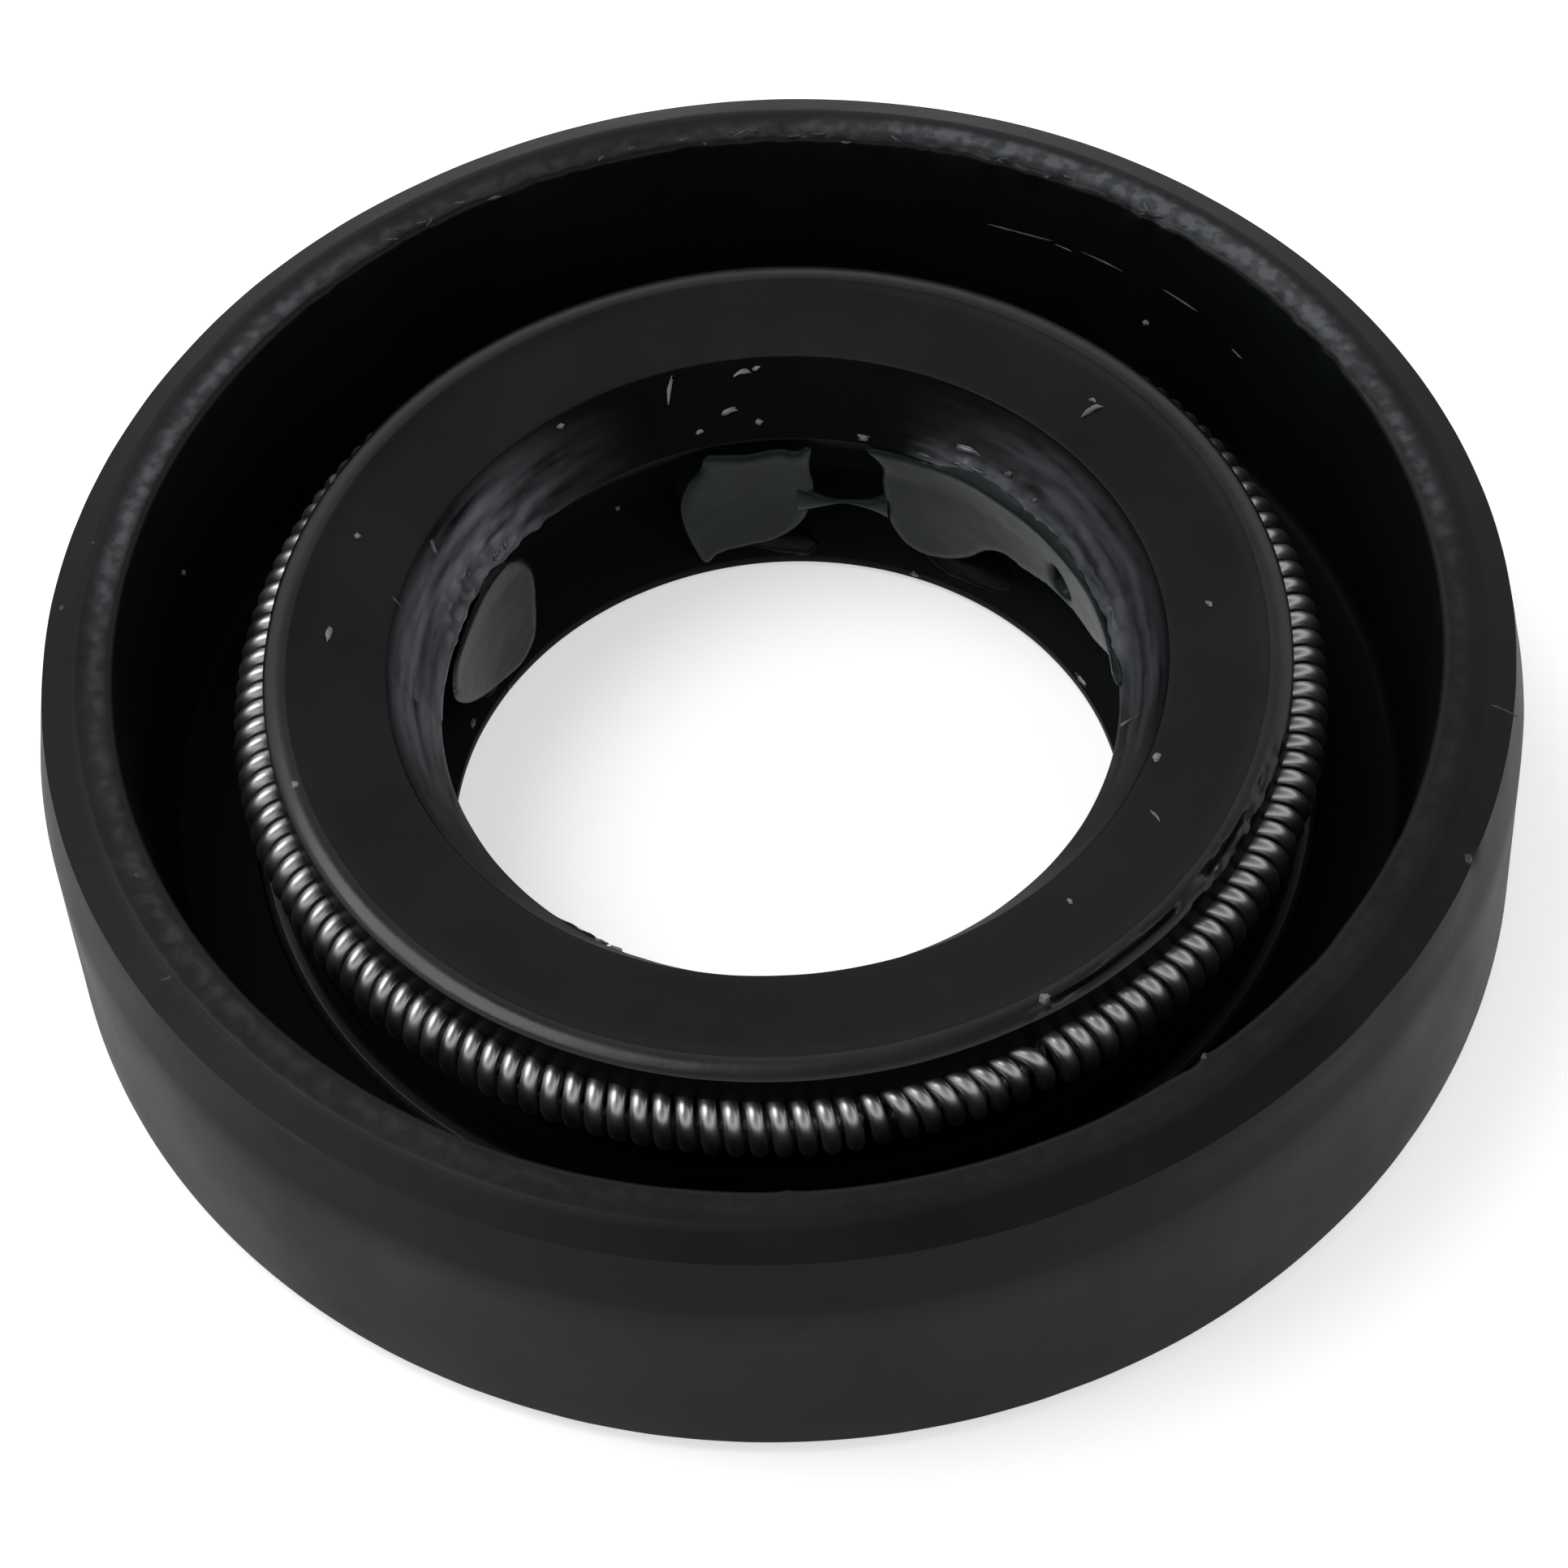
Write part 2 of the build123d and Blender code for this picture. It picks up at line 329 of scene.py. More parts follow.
def scuffs_and_painted_highlight(angle, radius, height):
    """How far the rim is greyed, from 0 to 1: most on its inner edge, at the left and the back. Along the
    inner edge this is real scuffing and painted highlight together; the band on the land at the rear right
    is mostly a painted highlight where the lamp catches the rim, and the patch at the front left is a
    painted sheen of the bright sky.
    """
    turn = angle % 360
    inner = np.interp(
        turn, [0, 14, 30, 50, 62, 80, 100, 124, 140, 165, 178, 205, 225, 300, 360],
        [0.1, 0.7, 0.9, 0.8, 0.5, 0.35, 0.15, 0.3, 0.75, 0.8, 0.3, 0.2, 0.08, 0.05, 0.1],
    )
    mouth_edge = band(radius, 15.74, 16.0, soft=0.12) * inner
    # Scuffing plus a painted highlight band on the land at the rear right.
    land = band(radius, 15.95, 16.2, soft=0.15) * (0.2 * inner + 0.8 * band(turn, 38, 72, soft=14))
    # Painted sheen: the front left of the rim lightened as if it reflected the bright sky at the left.
    front_left_painted_sheen = 0.1 * band(turn, 208, 240, soft=20) * band(radius, 15.8, 16.4, soft=0.1)
    return (height > seal_width - 0.45) * (mouth_edge + land + front_left_painted_sheen)


def dent_depths(angle, radius, height):
    """What the listed dents and bumps take off or add."""
    total = np.zeros_like(angle)
    for azimuth, dent_radius, dent_height, along, across, depth in dents:
        turn = (angle - azimuth + 180) % 360 - 180
        round_ring = np.radians(turn) * dent_radius / along
        away = np.hypot(radius - dent_radius, height - dent_height) / across
        total -= depth * np.exp(-(round_ring**2) - away**2)
    return total


def section_normals(section):
    """Unit normals that point out of the rubber at each point of the section."""
    along = np.roll(section, -1, axis=0) - np.roll(section, 1, axis=0)
    normals = np.stack([along[:, 1], -along[:, 0]], axis=1)
    return normals / np.linalg.norm(normals, axis=1)[:, None]


# The covering's materials, in the order in which it carries them. The lip face takes the rim's.
RIM, WALL, CONE, INNER, FLOOR_RING, HEAD_EDGE, BEVEL = range(7)


def zone(radius, height):
    """Which of the covering's materials a place on the section takes."""
    if radius > bevel_top_radius + 0.01:
        return BEVEL if height > bevel_foot_height - 0.01 else WALL
    if abs(radius - mould_ring_radius) < 0.25 and abs(height - floor_height) < 0.15:
        return FLOOR_RING
    if height > seal_width - 0.4 and radius > mouth_radius:
        return RIM
    if height > head_height - 0.18 and head_radius - 0.5 < radius < head_radius + 0.01:
        return HEAD_EDGE
    if height > lip_mouth_height and radius < head_radius - 0.01:
        return RIM
    if height > lip_edge_height and radius < lip_mouth_radius:
        return CONE
    return INNER


def covering_offset(angle, radius, height, smear_and_painted_sheen):
    """How far wear, grease and unevenness move each point of the covering along its normal. Nothing rises on
    the back and the outside, so the covering stays in the solid's box."""
    slow, rough = np.empty(angle.shape), np.empty(angle.shape)
    for place in np.ndindex(angle.shape):
        turn, r = radians(angle[place]), radius[place]
        spot = Vector((r * cos(turn), r * sin(turn), height[place]))
        slow[place] = unevenness(spot)
        rough[place] = noise.noise(spot * 3.1)
    offset = slow + dent_depths(angle, radius, height) + smear_height * smear_and_painted_sheen
    offset += rim_flash(angle, radius, height, rough) + torn_head(angle, radius, height, rough)
    offset += bubbles(angle, radius, height, rough)
    may_rise = (height > 0.3) & (radius < outer_radius - 0.02)
    return np.where(may_rise | (offset < 0), offset, 0)


def turned_faces(around, count):
    """The faces between the turns of a closed section of count points."""
    return [
        (
            turn * count + step,
            (turn + 1) % around * count + step,
            (turn + 1) % around * count + (step + 1) % count,
            turn * count + (step + 1) % count,
        )
        for turn in range(around)
        for step in range(count)
    ]


def covering():
    """The section turned round the axis, with its wear, in as many turns as stay under 200,000 triangles."""
    around = 488
    section = np.array(covering_section())
    normals = section_normals(section)
    turns = np.arange(around) * 2 * pi / around
    shape = (around, len(section))
    angle = np.broadcast_to(((np.degrees(turns) + 180) % 360 - 180)[:, None], shape)
    radius = np.broadcast_to(section[:, 0], shape)
    height = np.broadcast_to(section[:, 1], shape)
    smear_and_painted_sheen = grease_smear_and_painted_sheen(angle, radius, height)
    offset = covering_offset(angle, radius, height, smear_and_painted_sheen)
    worn_radius = np.minimum(radius + normals[:, 0] * offset, outer_radius)
    worn_height = np.clip(height + normals[:, 1] * offset, 0, seal_width)
    x, y = worn_radius * np.cos(turns)[:, None], worn_radius * np.sin(turns)[:, None]
    vertices = np.stack([x, y, worn_height], axis=-1).reshape(-1, 3)
    piece = mesh_object("rubber_covering", vertices, turned_faces(*shape))
    middles = (section + np.roll(section, -1, axis=0)) / 2
    zones = [zone(r, z) for r, z in middles]
    piece.data.polygons.foreach_set("material_index", zones * around)
    # The first attribute greys the rim with scuffs and painted highlight, the second lightens the cone with
    # grease and painted sheen.
    for name, values in (("scuffs_and_painted_highlight", scuffs_and_painted_highlight(angle, radius, height)), ("grease_smear_and_painted_sheen", smear_and_painted_sheen)):
        layer = piece.data.attributes.new(name, "FLOAT", "POINT")
        layer.data.foreach_set("value", values.ravel())
    return piece


# ---------------------------------------------------------------- mesh tools

def linked(name, data):
    """An object in the scene that shows a mesh, a lamp's data or a camera's."""
    made = bpy.data.objects.new(name, data)
    bpy.context.scene.collection.objects.link(made)
    return made


def mesh_object(name, vertices, faces, sharp_angle=40):
    """A smooth-shaded mesh with creases where its faces meet at more than sharp_angle."""
    mesh = bpy.data.meshes.new(name)
    mesh.from_pydata(np.asarray(vertices, dtype=float) * MM, [], faces)
    mesh.validate()
    mesh.shade_smooth()
    mesh.set_sharp_from_angle(angle=radians(sharp_angle))
    return linked(name, mesh)


def add_piece(piece, slot, *materials):
    """Gives a piece its materials, and makes it ride on the seal. The slot is not used."""
    for material in materials:
        piece.data.materials.append(material)
    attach(piece, "root")
    return piece


def seat(azimuth, radius, height, lean, spin=0):
    """A frame on the seal's surface: Z is its normal, leaning outward from upright by lean, and X runs
    round the ring, turned about the normal by spin."""
    place = Matrix.Rotation(radians(azimuth), 4, "Z") @ Matrix.Translation((radius, 0, height))
    return place @ Matrix.Rotation(radians(lean), 4, "Y") @ Matrix.Rotation(radians(90 + spin), 4, "Z")


def grains(name, rows, raggedness, seed):
    """One piece of many small closed lumps, each a seat, a length, a width, a height and a bend."""
    shape = bmesh.new()
    for index, (place, length, width, height, bend) in enumerate(rows):
        lump = bmesh.ops.create_icosphere(shape, subdivisions=3, radius=1)["verts"]
        shift = Vector((seed * 7.3, index * 3.1, 0))
        for vert in lump:
            push = 1 + raggedness * noise.noise(vert.co * 1.6 + shift)
            x, y, z = vert.co * push
            bent = y * width / 2 + bend * length * x * x / 2
            vert.co = place @ Vector((x * length / 2, bent, z * height / 2))
    bmesh.ops.scale(shape, vec=(MM, MM, MM), verts=shape.verts)
    mesh = bpy.data.meshes.new(name)
    shape.to_mesh(mesh)
    shape.free()
    mesh.shade_smooth()
    return linked(name, mesh)


# ---------------------------------------------------------------- grease

# The grease hangs between the sealing edge and the dust lip. An outline goes round the free face of a dab,
# a hole round a gap in it, and each of their points is an azimuth and a height.
rear_outline = [
    (100, 4.8), (96.5, 4.7), (92.5, 4.6), (87.5, 4.75), (84, 4.65), (81.5, 4.85), (82, 3.9),
    (81.5, 3.25), (82, 2.55), (84.5, 1.6), (89, 1), (94, 0.85), (98.5, 0.75), (101.5, 0.4), (103, 1.05),
    (104.5, 2), (105, 3), (103.5, 3.75), (101, 4.3),
]
left_outline = [
    (146, 5.3), (140.5, 4.9), (136, 3.8), (135.5, 2.55), (136.5, 1.2), (140.5, 0.6), (146, 0.7),
    (152.5, 1.15), (158.5, 1.95), (164, 3.2), (164, 4.15), (159.5, 4.65), (154.5, 5.05), (150, 5.3),
]
right_outline = [
    (71.5, 5.05), (66.5, 5.15), (59, 5.2), (52, 5.4), (45, 5.4), (37, 5.35), (29, 5.35), (18.5, 5.25),
    (7.5, 5.25), (-3, 5.35), (2, 4.75), (9.5, 4.05), (17.5, 3.35), (27, 3.15), (34, 3), (40, 2.8),
    (44.5, 2.85), (49, 2.5), (53.5, 1.75), (58.5, 1.3), (63, 1.25), (66.5, 1.65), (68.5, 2.45),
    (69, 3.6), (69, 4.4),
]
right_hole = [(32, 4.1), (30, 4.15), (27.5, 3.85), (27, 3.6), (29, 3.4), (31.5, 3.6)]

# The rubber behind the grease, as heights and the radii there, and the free face in front of it.
rubber_behind = (
    [dust_lip_height, web_foot_height, web_top_height, lip_back_height, lip_edge_height, lip_mouth_height],
    [dust_lip_radius, web_radius, web_radius, lip_back_radius, lip_edge_radius, lip_mouth_radius],
)
free_face = ([0.3, 4.9, lip_edge_height, lip_mouth_height], [8.24, 8.07, 8.0, 9.1])

# The spacing of the points along a dab's edge and on its face, how far the face bulges, and how wide its
# round edge is.
edge_spacing = 0.08
face_spacing = 0.1
face_bulge = 0.11
round_edge = 0.3


def smooth_loop(points, spacing):
    """A smooth closed line through points, as azimuths times radius and heights, spacing apart."""
    knots = np.array([(radians(azimuth) * lip_edge_radius, height) for azimuth, height in points])
    line = []
    for index in range(len(knots)):
        a, b, c, d = (knots[(index + step) % len(knots)] for step in (-1, 0, 1, 2))
        steps = max(1, round(np.linalg.norm(c - b) / spacing))
        for step in range(steps):
            t = step / steps
            line.append(
                b + 0.5 * t * (c - a + t * (2 * a - 5 * b + 4 * c - d + t * (3 * (b - c) + d - a)))
            )
    return np.array(line)


def edge_distances(points, loop):
    """How far each point is from a closed line of short runs."""
    gaps = np.linalg.norm(points[:, None, :] - loop[None, :, :], axis=2)
    return gaps.min(axis=1)


def inside(points, loop):
    """Which points lie inside a closed line."""
    result = np.zeros(len(points), dtype=bool)
    for (x0, y0), (x1, y1) in zip(loop, np.roll(loop, -1, axis=0)):
        crosses = (y0 > points[:, 1]) != (y1 > points[:, 1])
        with np.errstate(divide="ignore", invalid="ignore"):
            cut = x0 + (points[:, 1] - y0) / (y1 - y0) * (x1 - x0)
        result ^= crosses & (points[:, 0] < cut)
    return result


def in_outline(points, loops):
    """Which points lie inside the first loop and outside the others."""
    result = inside(points, loops[0])
    for hole in loops[1:]:
        result &= ~inside(points, hole)
    return result


def loop_edges(loops):
    """The pairs of point numbers that go round each loop, where the loops' points come one after another."""
    edges, start = [], 0
    for loop in loops:
        edges += [(start + i, start + (i + 1) % len(loop)) for i in range(len(loop))]
        start += len(loop)
    return edges


def face_mesh(loops, spacing):
    """Points and triangles that fill the first loop and leave out the others."""
    low, high = loops[0].min(axis=0), loops[0].max(axis=0)
    grid = np.array([
        (x + (row % 2) * spacing / 2, y)
        for row, y in enumerate(np.arange(low[1], high[1], spacing * 0.87))
        for x in np.arange(low[0], high[0], spacing)
    ])
    keep = in_outline(grid, loops)
    for loop in loops:
        keep &= edge_distances(grid, loop) > spacing * 0.6
    points = np.concatenate(loops + [grid[keep]])
    fill = geometry.delaunay_2d_cdt([Vector(p) for p in points], loop_edges(loops), [], 0, 1e-6)
    centres = np.array([np.mean([fill[0][v] for v in face], axis=0) for face in fill[2]])
    wanted = in_outline(centres, loops)
    return points, [tuple(face) for face, want in zip(fill[2], wanted) if want]


def free_face_radii(points, loops, seed):
    """The radii of a dab's free face, which bulges into the bore, is lumpy, and has a round edge."""
    edge = np.min([edge_distances(points, loop) for loop in loops], axis=0)
    from_edge = np.clip(edge / round_edge, 0, 1)
    bulge = face_bulge * np.sqrt(1 - (1 - from_edge) ** 2)
    lumps = np.array([noise.noise(Vector((x * 0.55, y * 0.55, seed * 9.7))) for x, y in points])
    ripples = np.array([noise.noise(Vector((x * 2.3, y * 2.3, seed * 4.1))) for x, y in points])
    flat = np.interp(points[:, 1], *free_face) + np.interp(points[:, 1], [4.2, 4.9], [0.06, 0])
    return flat - bulge * (1 + 0.4 * lumps) - 0.008 * ripples * from_edge


def grease_dab(name, outline, holes, narrowing, seed):
    """A dab whose free face fills an outline, with round edges, and which narrows back to the rubber."""
    loops = [smooth_loop(line, edge_spacing) for line in [outline] + holes]
    points, front = face_mesh(loops, face_spacing)
    face_radius = free_face_radii(points, loops, seed)
    layers = [(points, face_radius)]
    middle = loops[0].mean(axis=0)
    for share in (0.25, 0.6, 1.0):
        moved = middle + (points - middle) * (1 - narrowing * share)
        behind = np.maximum(np.interp(moved[:, 1], *rubber_behind) + 0.06, face_radius + 0.02)
        layers.append((moved, face_radius + (behind - face_radius) * share))
    vertices = []
    for placed, radii in layers:
        turn = placed[:, 0] / lip_edge_radius
        vertices += list(zip(radii * np.cos(turn), radii * np.sin(turn), placed[:, 1]))
    count = len(points)
    faces = list(front)
    for near in range(0, (len(layers) - 1) * count, count):
        far = near + count
        faces += [(near + a, near + b, far + b, far + a) for a, b in loop_edges(loops)]
    faces += [tuple((len(layers) - 1) * count + v for v in reversed(face)) for face in front]
    return clean_solid(mesh_object(name, vertices, faces, sharp_angle=80))


def clean_solid(piece):
    """Drops points that no face uses and turns every face outward."""
    shape = bmesh.new()
    shape.from_mesh(piece.data)
    bmesh.ops.delete(shape, geom=[v for v in shape.verts if not v.link_faces], context="VERTS")
    bmesh.ops.recalc_face_normals(shape, faces=shape.faces)
    shape.to_mesh(piece.data)
    shape.free()
    return piece


# The strand between the rear and the right dab: azimuth, radius, height, and its half width and half height.
strand_points = [
    (84.4, 8.3, 2.76, 0.28, 0.6), (82.6, 8.22, 2.72, 0.2, 0.42), (80.6, 8.18, 2.69, 0.13, 0.25),
    (78.6, 8.16, 2.7, 0.09, 0.12), (76.9, 8.16, 2.75, 0.06, 0.06), (75.0, 8.16, 2.78, 0.07, 0.06),
    (73.2, 8.15, 2.8, 0.1, 0.11), (71.4, 8.17, 2.78, 0.12, 0.16), (69.9, 8.21, 2.8, 0.17, 0.3),
    (68.0, 8.28, 2.8, 0.26, 0.5),
]


def softened_strand(steps):
    """The strand's rows with steps between each two of them, smoothed by a running mean over as many."""
    given = np.array(strand_points)
    at = np.linspace(0, len(given) - 1, (len(given) - 1) * steps + 1)
    columns = [np.interp(at, range(len(given)), column) for column in given.T]
    for column in columns:
        column[steps:-steps] = np.convolve(column, np.ones(steps) / steps, mode="same")[steps:-steps]
    return np.stack(columns, axis=1)


def grease_strand():
    """A thin strand that hangs from one dab to the next and widens where it joins them."""
    around = 16
    rows = softened_strand(steps=8)
    vertices = []
    for azimuth, radius, height, wide, high in rows:
        for step in range(around):
            turn = 2 * pi * step / around
            reach = radius + wide * cos(turn)
            x, y = reach * cos(radians(azimuth)), reach * sin(radians(azimuth))
            vertices.append((x, y, height + high * sin(turn)))
    last = (len(rows) - 1) * around
    faces = turned_faces(len(rows), around)[:last]
    faces += [tuple(reversed(range(around))), tuple(range(last, last + around))]
    return clean_solid(mesh_object("grease_strand", vertices, faces, sharp_angle=60))


# ---------------------------------------------------------------- lint, crumbs and scuffs

# How far the normal of each surface leans outward from upright.
face_lean = -4.9
cone_lean = -56.7
bevel_lean = 25
wall_lean = -83.6
pocket_lean = -32.7
bore_lean = -90
nub_lean = 45


def face_height(radius):
    """The height of the dished lip face at a radius."""
    share = (radius - lip_mouth_radius) / (head_radius - lip_mouth_radius)
    return lip_mouth_height + share * (head_height - lip_mouth_height)


def on_face(azimuth, radius, spin=0):
    """A seat on the lip face."""
    return seat(azimuth, radius, face_height(radius), face_lean, spin)


def on_cone(azimuth, radius, spin=0):
    """A seat on the cone between the lip's mouth and its sealing edge."""
    share = (radius - lip_edge_radius) / (lip_mouth_radius - lip_edge_radius)
    height = lip_edge_height + share * (lip_mouth_height - lip_edge_height)
    return seat(azimuth, radius, height, cone_lean, spin)


def on_pocket(azimuth, radius, spin=0):
    """A seat on the slope between the web and the dust lip."""
    share = (radius - dust_lip_radius) / (web_radius - dust_lip_radius)
    height = dust_lip_height + share * (web_foot_height - dust_lip_height)
    return seat(azimuth, radius, height, pocket_lean, spin)


# Each row is a seat, then the lump's length, width, height and bend. Lint comes first: three bits of it hang
# on the torn front of the sealing edge.
lint_rows = [
    (on_face(39.7, 10.42, 78), 0.5, 0.12, 0.2, 0.18),
    (on_face(40.6, 10.66, 10), 0.2, 0.08, 0.12, 0.3),
    (on_face(2.5, 10.24, 30), 0.18, 0.13, 0.13, 0),
    (on_face(-24.4, 9.4, 0), 0.22, 0.17, 0.14, 0),
    (on_face(-33.6, 10.05, 62), 0.4, 0.06, 0.06, 0.1),
    (on_face(-51.4, 9.95, 80), 0.2, 0.1, 0.09, 0),
    (on_face(-62.7, 11.78, 0), 0.26, 0.22, 0.26, 0),
    (on_face(-165, 11.72, 0), 0.2, 0.17, 0.16, 0),
    (on_face(172.3, 10.62, 2), 0.4, 0.14, 0.12, 0.04),
    (on_face(156.2, 10.73, 20), 0.15, 0.13, 0.13, 0),
    (on_cone(104.0, 8.95, 70), 0.65, 0.08, 0.09, 0.06),
    (on_cone(92.2, 9.02, 5), 0.4, 0.12, 0.13, 0.2),
    (on_cone(90.0, 9.05, 20), 0.18, 0.1, 0.1, 0),
    (on_cone(90.2, 8.3, 0), 0.17, 0.13, 0.12, 0),
    (on_cone(122.5, 9.05, 0), 0.2, 0.13, 0.12, 0),
    (on_cone(100.5, 8.28, 10), 0.2, 0.1, 0.1, 0.1),
    (on_cone(95.0, 8.5, 15), 0.4, 0.13, 0.15, 0.15),
    (on_cone(-127.6, 8.07, 20), 0.5, 0.12, 0.1, 0.2),
    (on_cone(-123.6, 8.1, 40), 0.34, 0.12, 0.1, 0.1),
    (on_cone(-120.8, 8.12, 10), 0.3, 0.08, 0.08, 0),
    (on_pocket(112.2, 9.94), 0.14, 0.12, 0.12, 0),
    (seat(49.3, 15.12, 4.63, wall_lean), 0.18, 0.14, 0.14, 0),
    (seat(160.2, 15.15, 5.2, wall_lean), 0.14, 0.12, 0.12, 0),
]

# Scratches and nicks on the bevel and the rim, and the flash nub on the head's edge, as above.
scuff_rows = [
    (seat(-147.1, 16.82, 7.82, bevel_lean, 84), 0.75, 0.08, 0.05, 0.04),
    (seat(-148.2, 16.6, 7.92, bevel_lean, 60), 0.3, 0.07, 0.05, 0.1),
    (seat(-13.0, 16.95, 7.76, bevel_lean, 88), 0.7, 0.06, 0.06, 0.02),
    (seat(-27.4, 17.08, 7.69, bevel_lean, 30), 0.26, 0.18, 0.1, 0.1),
    (seat(-158.4, 15.95, 7.985, 0, 10), 0.15, 0.11, 0.06, 0),
    (seat(172.5, 16.9, 7.78, bevel_lean, 20), 0.17, 0.13, 0.07, 0),
    (seat(166.0, 16.5, 7.94, bevel_lean, 20), 0.15, 0.09, 0.07, 0),
    (seat(-55.9, 15.52, 7.95, 0, 40), 0.24, 0.15, 0.1, 0.1),
    (seat(149.3, head_radius - 0.01, 7.08, nub_lean, 10), 0.34, 0.12, 0.12, 0.1),
]

# Pale streaks high on the cavity wall at the rear right, as above.
streak_rows = [
    (seat(63.2, 15.25, 5.93, wall_lean, 2), 1.7, 0.05, 0.03, 0),
    (seat(58.7, 15.24, 5.9, wall_lean, -4), 0.5, 0.04, 0.03, 0),
    (seat(54.7, 15.25, 5.96, wall_lean, -3), 1.1, 0.05, 0.03, 0.02),
    (seat(45.7, 15.25, 5.98, wall_lean, -3), 1.1, 0.05, 0.03, 0.02),
    (seat(38.5, 15.2, 5.5, wall_lean, -10), 0.4, 0.05, 0.03, 0),
]

# The grease that has run down from the dabs onto the slope behind the dust lip, as above. Their grease is a
# much darker copy, painted shade under the lip.
skirt_rows = [
    (on_pocket(55.5, 8.8, -4), 3.1, 1.0, 0.3, 0.05),
    (on_pocket(88.5, 8.6, -12), 2.2, 0.8, 0.3, 0.05),
    (on_pocket(148.0, 8.55), 0.9, 0.5, 0.25, 0),
]

# Small drops of grease, as above. Their grease is lighter than the dabs', a painted glint on top of their
# gloss.
drop_rows = [
    (on_cone(57.6, 8.25, 4), 0.5, 0.1, 0.08, 0.05),
    (on_cone(53.6, 8.42, 8), 0.9, 0.16, 0.12, 0.06),
    (on_cone(52.2, 8.2, 6), 1.1, 0.1, 0.1, 0.04),
    (on_cone(60.5, 8.12, 0), 0.5, 0.09, 0.09, 0.03),
    (on_cone(72.0, 8.15, 0), 0.34, 0.16, 0.16, 0),
    (on_cone(45.0, 8.4, 30), 0.26, 0.14, 0.1, 0.1),
    (on_cone(38.5, 8.3, 50), 0.22, 0.12, 0.1, 0.1),
    (on_cone(152.8, 9.02, 68), 0.5, 0.12, 0.1, 0.02),
    (on_cone(165.5, 9.1, 84), 0.75, 0.08, 0.06, 0.02),
    (on_cone(144.0, 8.2, 20), 0.36, 0.2, 0.16, 0.1),
    (on_cone(147.5, 8.35, 60), 0.4, 0.1, 0.1, 0.1),
    (on_cone(141.2, 8.2, 50), 0.3, 0.12, 0.12, 0.1),
    (on_cone(150.2, 8.45, 70), 0.5, 0.08, 0.08, 0.05),
    (on_cone(-12.0, 8.35, 80), 0.8, 0.09, 0.08, 0.02),
    (on_pocket(155.7, 8.4), 0.3, 0.16, 0.1, 0),
    (seat(145.1, dust_lip_radius, 0.33, bore_lean), 0.22, 0.14, 0.12, 0),
    (seat(63.7, dust_lip_radius, 0.36, bore_lean), 0.26, 0.16, 0.12, 0),
    (on_pocket(25.0, 8.28), 0.5, 0.12, 0.08, 0),
]


def rim_crumbs():
    """Loose curls of flash round the back of the rim's inner edge, as rows like those above."""
    rng = random.Random(11)
    rows = []
    for _ in range(30):
        azimuth = rng.uniform(44, 124)
        radius = rng.gauss(15.72, 0.14)
        place = seat(azimuth, radius, seal_width - 0.02, 0, rng.uniform(-40, 40))
        length, width, bend = rng.uniform(0.1, 0.4), rng.uniform(0.04, 0.08), rng.uniform(-0.2, 0.2)
        rows.append((place, length, width, 0.05, bend))
    return rows


# ---------------------------------------------------------------- materials

def new_material(name):
    """A material with its node tree and its shader."""
    material = bpy.data.materials.new(name)
    material.use_nodes = True
    tree = material.node_tree
    return material, tree, tree.nodes["Principled BSDF"]


def object_noise(tree, scale, detail):
    """Noise fixed to the object, in features per metre."""
    place = tree.nodes.new("ShaderNodeTexCoord")
    cloud = tree.nodes.new("ShaderNodeTexNoise")
    cloud.inputs["Scale"].default_value = scale
    cloud.inputs["Detail"].default_value = detail
    tree.links.new(place.outputs["Object"], cloud.inputs["Vector"])
    return cloud.outputs["Fac"]


def ramp(tree, factor, stops):
    """Colours at positions along a factor."""
    node = tree.nodes.new("ShaderNodeValToRGB")
    elements = node.color_ramp.elements
    while len(elements) < len(stops):
        elements.new(0.5)
    for element, (position, colour) in zip(elements, stops):
        element.position = position
        element.color = (*colour, 1)
    tree.links.new(factor, node.inputs["Fac"])
    return node.outputs["Color"]


def spread(tree, factor, low, high, start=0.3, end=0.7):
    """A factor stretched from start..end to low..high."""
    node = tree.nodes.new("ShaderNodeMapRange")
    node.inputs["From Min"].default_value = start
    node.inputs["From Max"].default_value = end
    node.inputs["To Min"].default_value = low
    node.inputs["To Max"].default_value = high
    tree.links.new(factor, node.inputs["Value"])
    return node.outputs["Result"]


def bump(tree, shader, height, strength, distance):
    """A fine relief from a height, as deep as distance."""
    node = tree.nodes.new("ShaderNodeBump")
    node.inputs["Strength"].default_value = strength
    node.inputs["Distance"].default_value = distance * MM
    tree.links.new(height, node.inputs["Height"])
    tree.links.new(node.outputs["Normal"], shader.inputs["Normal"])


def attribute(tree, name):
    """The values that the mesh carries at its points under a name."""
    node = tree.nodes.new("ShaderNodeAttribute")
    node.attribute_name = name
    return node.outputs["Fac"]


def math_node(tree, operation, one, other, clamped=False):
    """What an operation makes of two values, each a number or another node's output."""
    node = tree.nodes.new("ShaderNodeMath")
    node.operation = operation
    node.use_clamp = clamped
    for socket, value in zip(node.inputs, (one, other)):
        if isinstance(value, (int, float)):
            socket.default_value = value
        else:
            tree.links.new(value, socket)
    return node.outputs[0]


def times(tree, one, other):
    """The product of two values, kept from 0 to 1."""
    return math_node(tree, "MULTIPLY", one, other, clamped=True)


def blend(tree, share, one, colour):
    """A colour that goes from one to another by a share."""
    node = tree.nodes.new("ShaderNodeMix")
    node.data_type = "RGBA"
    tree.links.new(share, node.inputs["Factor"])
    tree.links.new(one, node.inputs["A"])
    node.inputs["B"].default_value = (*colour, 1)
    return node.outputs["Result"]


